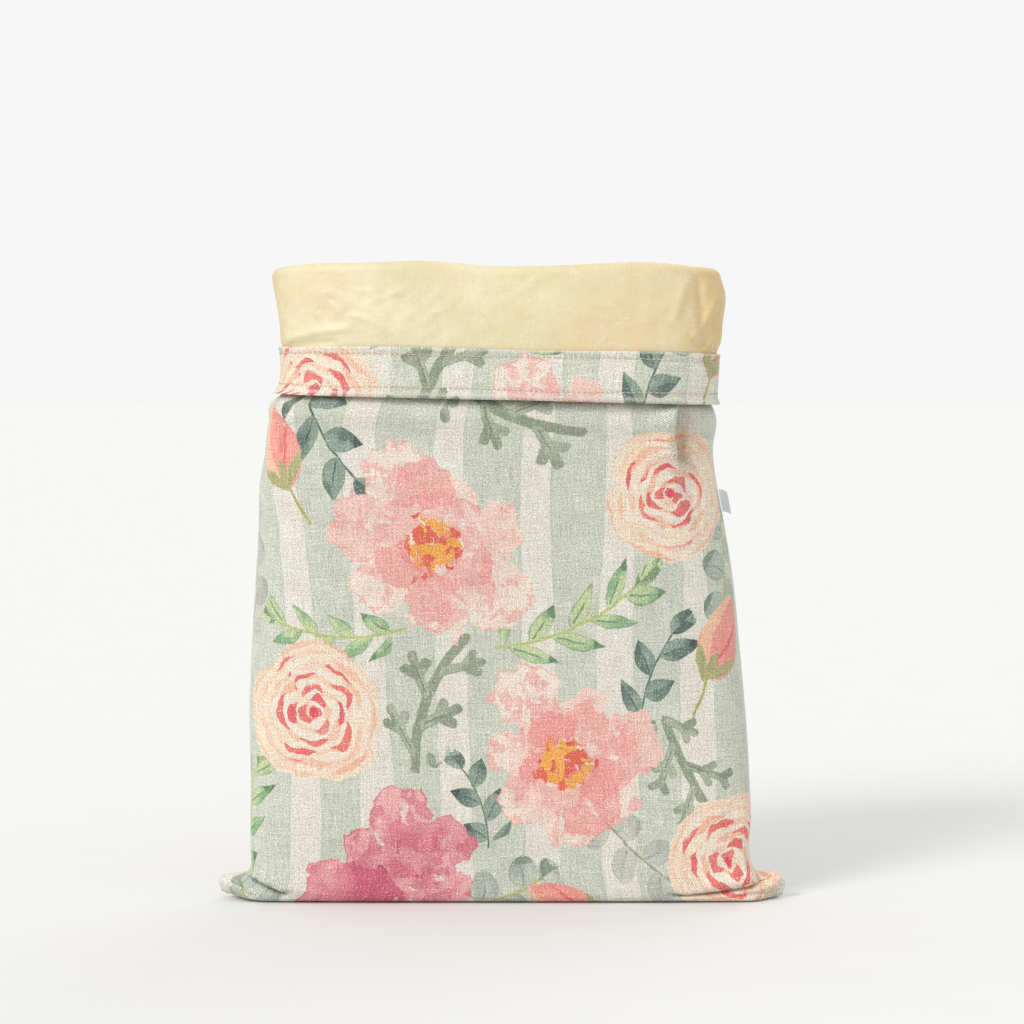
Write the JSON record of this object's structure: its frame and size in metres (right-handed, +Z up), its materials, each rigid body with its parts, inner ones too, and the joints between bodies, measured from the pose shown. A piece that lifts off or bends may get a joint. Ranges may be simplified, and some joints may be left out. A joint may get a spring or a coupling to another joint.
{
  "type": "bread bag",
  "caption": "Tall cloth bag standing open on a flat base, its waxed lining turned out at the mouth as a cuff that ends in a hem band, for holding loaves.",
  "frame": {"origin": "centre of the base, on the surface that the bag stands on", "axes": "+X to the right side seam, +Y to the back panel, +Z up"},
  "size_m": [0.306, 0.1297, 0.3427],
  "materials": {
    "printed_linen": "plain-weave linen printed with sage stripes and watercolour flowers, matt",
    "waxed_lining": "fine cotton coated with cream beeswax, satin",
    "label_tape": "smooth woven tape, blank"
  },
  "bodies": {
    "root": {"outer_front": "printed_linen", "outer_back": "printed_linen", "lining": "waxed_lining", "label": "label_tape"}
  },
  "joints": []
}
